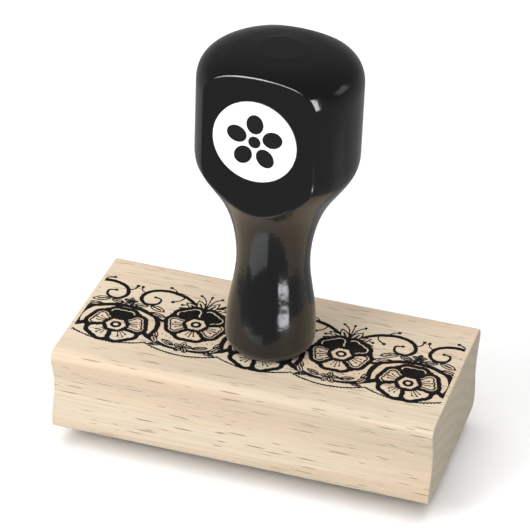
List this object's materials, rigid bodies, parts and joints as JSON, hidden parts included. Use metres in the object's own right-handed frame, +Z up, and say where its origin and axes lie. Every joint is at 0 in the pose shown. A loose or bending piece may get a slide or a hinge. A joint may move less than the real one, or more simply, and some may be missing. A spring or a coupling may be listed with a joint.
{
  "type": "rubber stamp",
  "caption": "Hand stamp with a round lacquered handle flatted front and back, a moulded hardwood block, a foam cushion and an engraved rubber die with a floral lace border.",
  "frame": {"origin": "centre of the block's footprint on the paper that the printing face rests on", "axes": "+Z up along the handle, X along the block and its wood grain, -Y towards the front, where the knob carries its label"},
  "size_m": [0.0762, 0.038, 0.0867],
  "materials": {
    "grey_rubber": "matt engraved rubber",
    "clear_film": "thin double-sided adhesive film",
    "white_foam": "closed-cell foam with fine open cells on its cut edges",
    "pale_hardwood": "sanded bare beech or maple with short dark flecks along the grain",
    "black_ink": "matt printing ink",
    "black_lacquered_wood": "high-gloss black lacquer over turned hardwood",
    "plated_steel": "zinc-plated",
    "white_vinyl": "satin white label vinyl",
    "label_ink": "satin black print"
  },
  "bodies": {
    "mount": {"mount_block": "pale_hardwood", "index_print": "black_ink", "handle": "black_lacquered_wood", "handle_screw": "plated_steel", "label_adhesive": "clear_film", "label_disc": "white_vinyl", "label_mark": "label_ink", "mount_adhesive": "clear_film", "cushion_foam": "white_foam"},
    "die": {"rubber_die": "grey_rubber", "die_adhesive": "clear_film"}
  },
  "joints": [
    {"name": "die_press", "type": "slide", "parent": "mount", "child": "die", "axis": [0, 0, 1], "range_m": [0, 0.0008], "stiffness_N_per_m": 50000, "deforming": ["cushion_foam"]}
  ]
}
